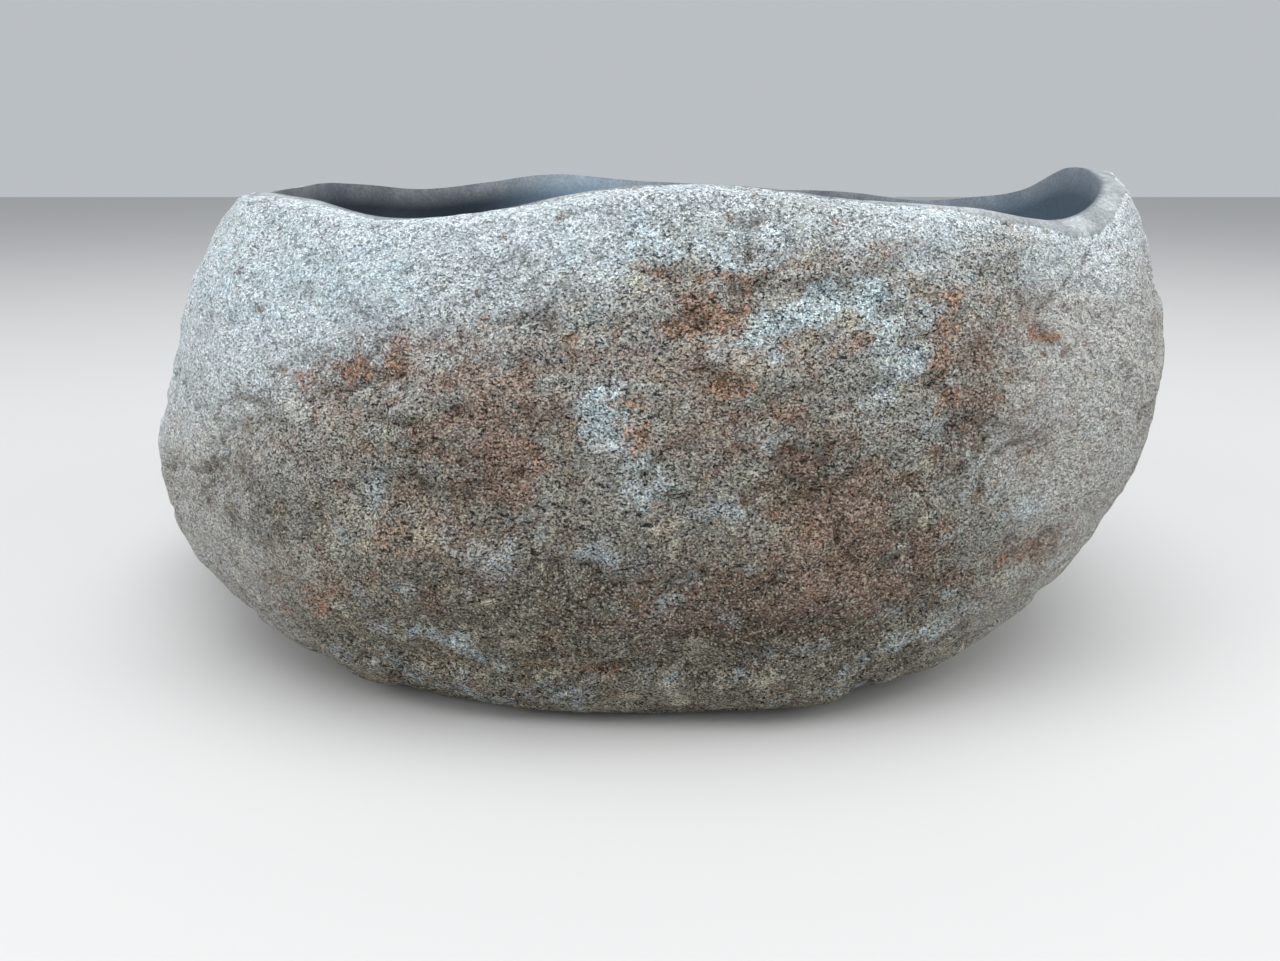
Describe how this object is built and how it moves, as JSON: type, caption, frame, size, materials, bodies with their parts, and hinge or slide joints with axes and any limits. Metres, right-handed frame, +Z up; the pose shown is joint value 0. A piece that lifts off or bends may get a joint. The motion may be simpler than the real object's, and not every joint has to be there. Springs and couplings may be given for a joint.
{
  "type": "molcajete bowl",
  "caption": "Legless stone mortar hollowed out of one oval river boulder, with a wavy ground rim and a flat resting foot.",
  "frame": {"origin": "on the ground under the middle of the stone's bounding box", "axes": "+X along the stone's length, +Y to the back, +Z up"},
  "size_m": [0.3338, 0.231, 0.1455],
  "materials": {
    "river_stone": "rough weathered grey boulder skin with rust stains, smooth ground rim, smooth dark slate-grey hollow"
  },
  "bodies": {
    "root": {"stone_bowl": "river_stone"}
  },
  "joints": []
}
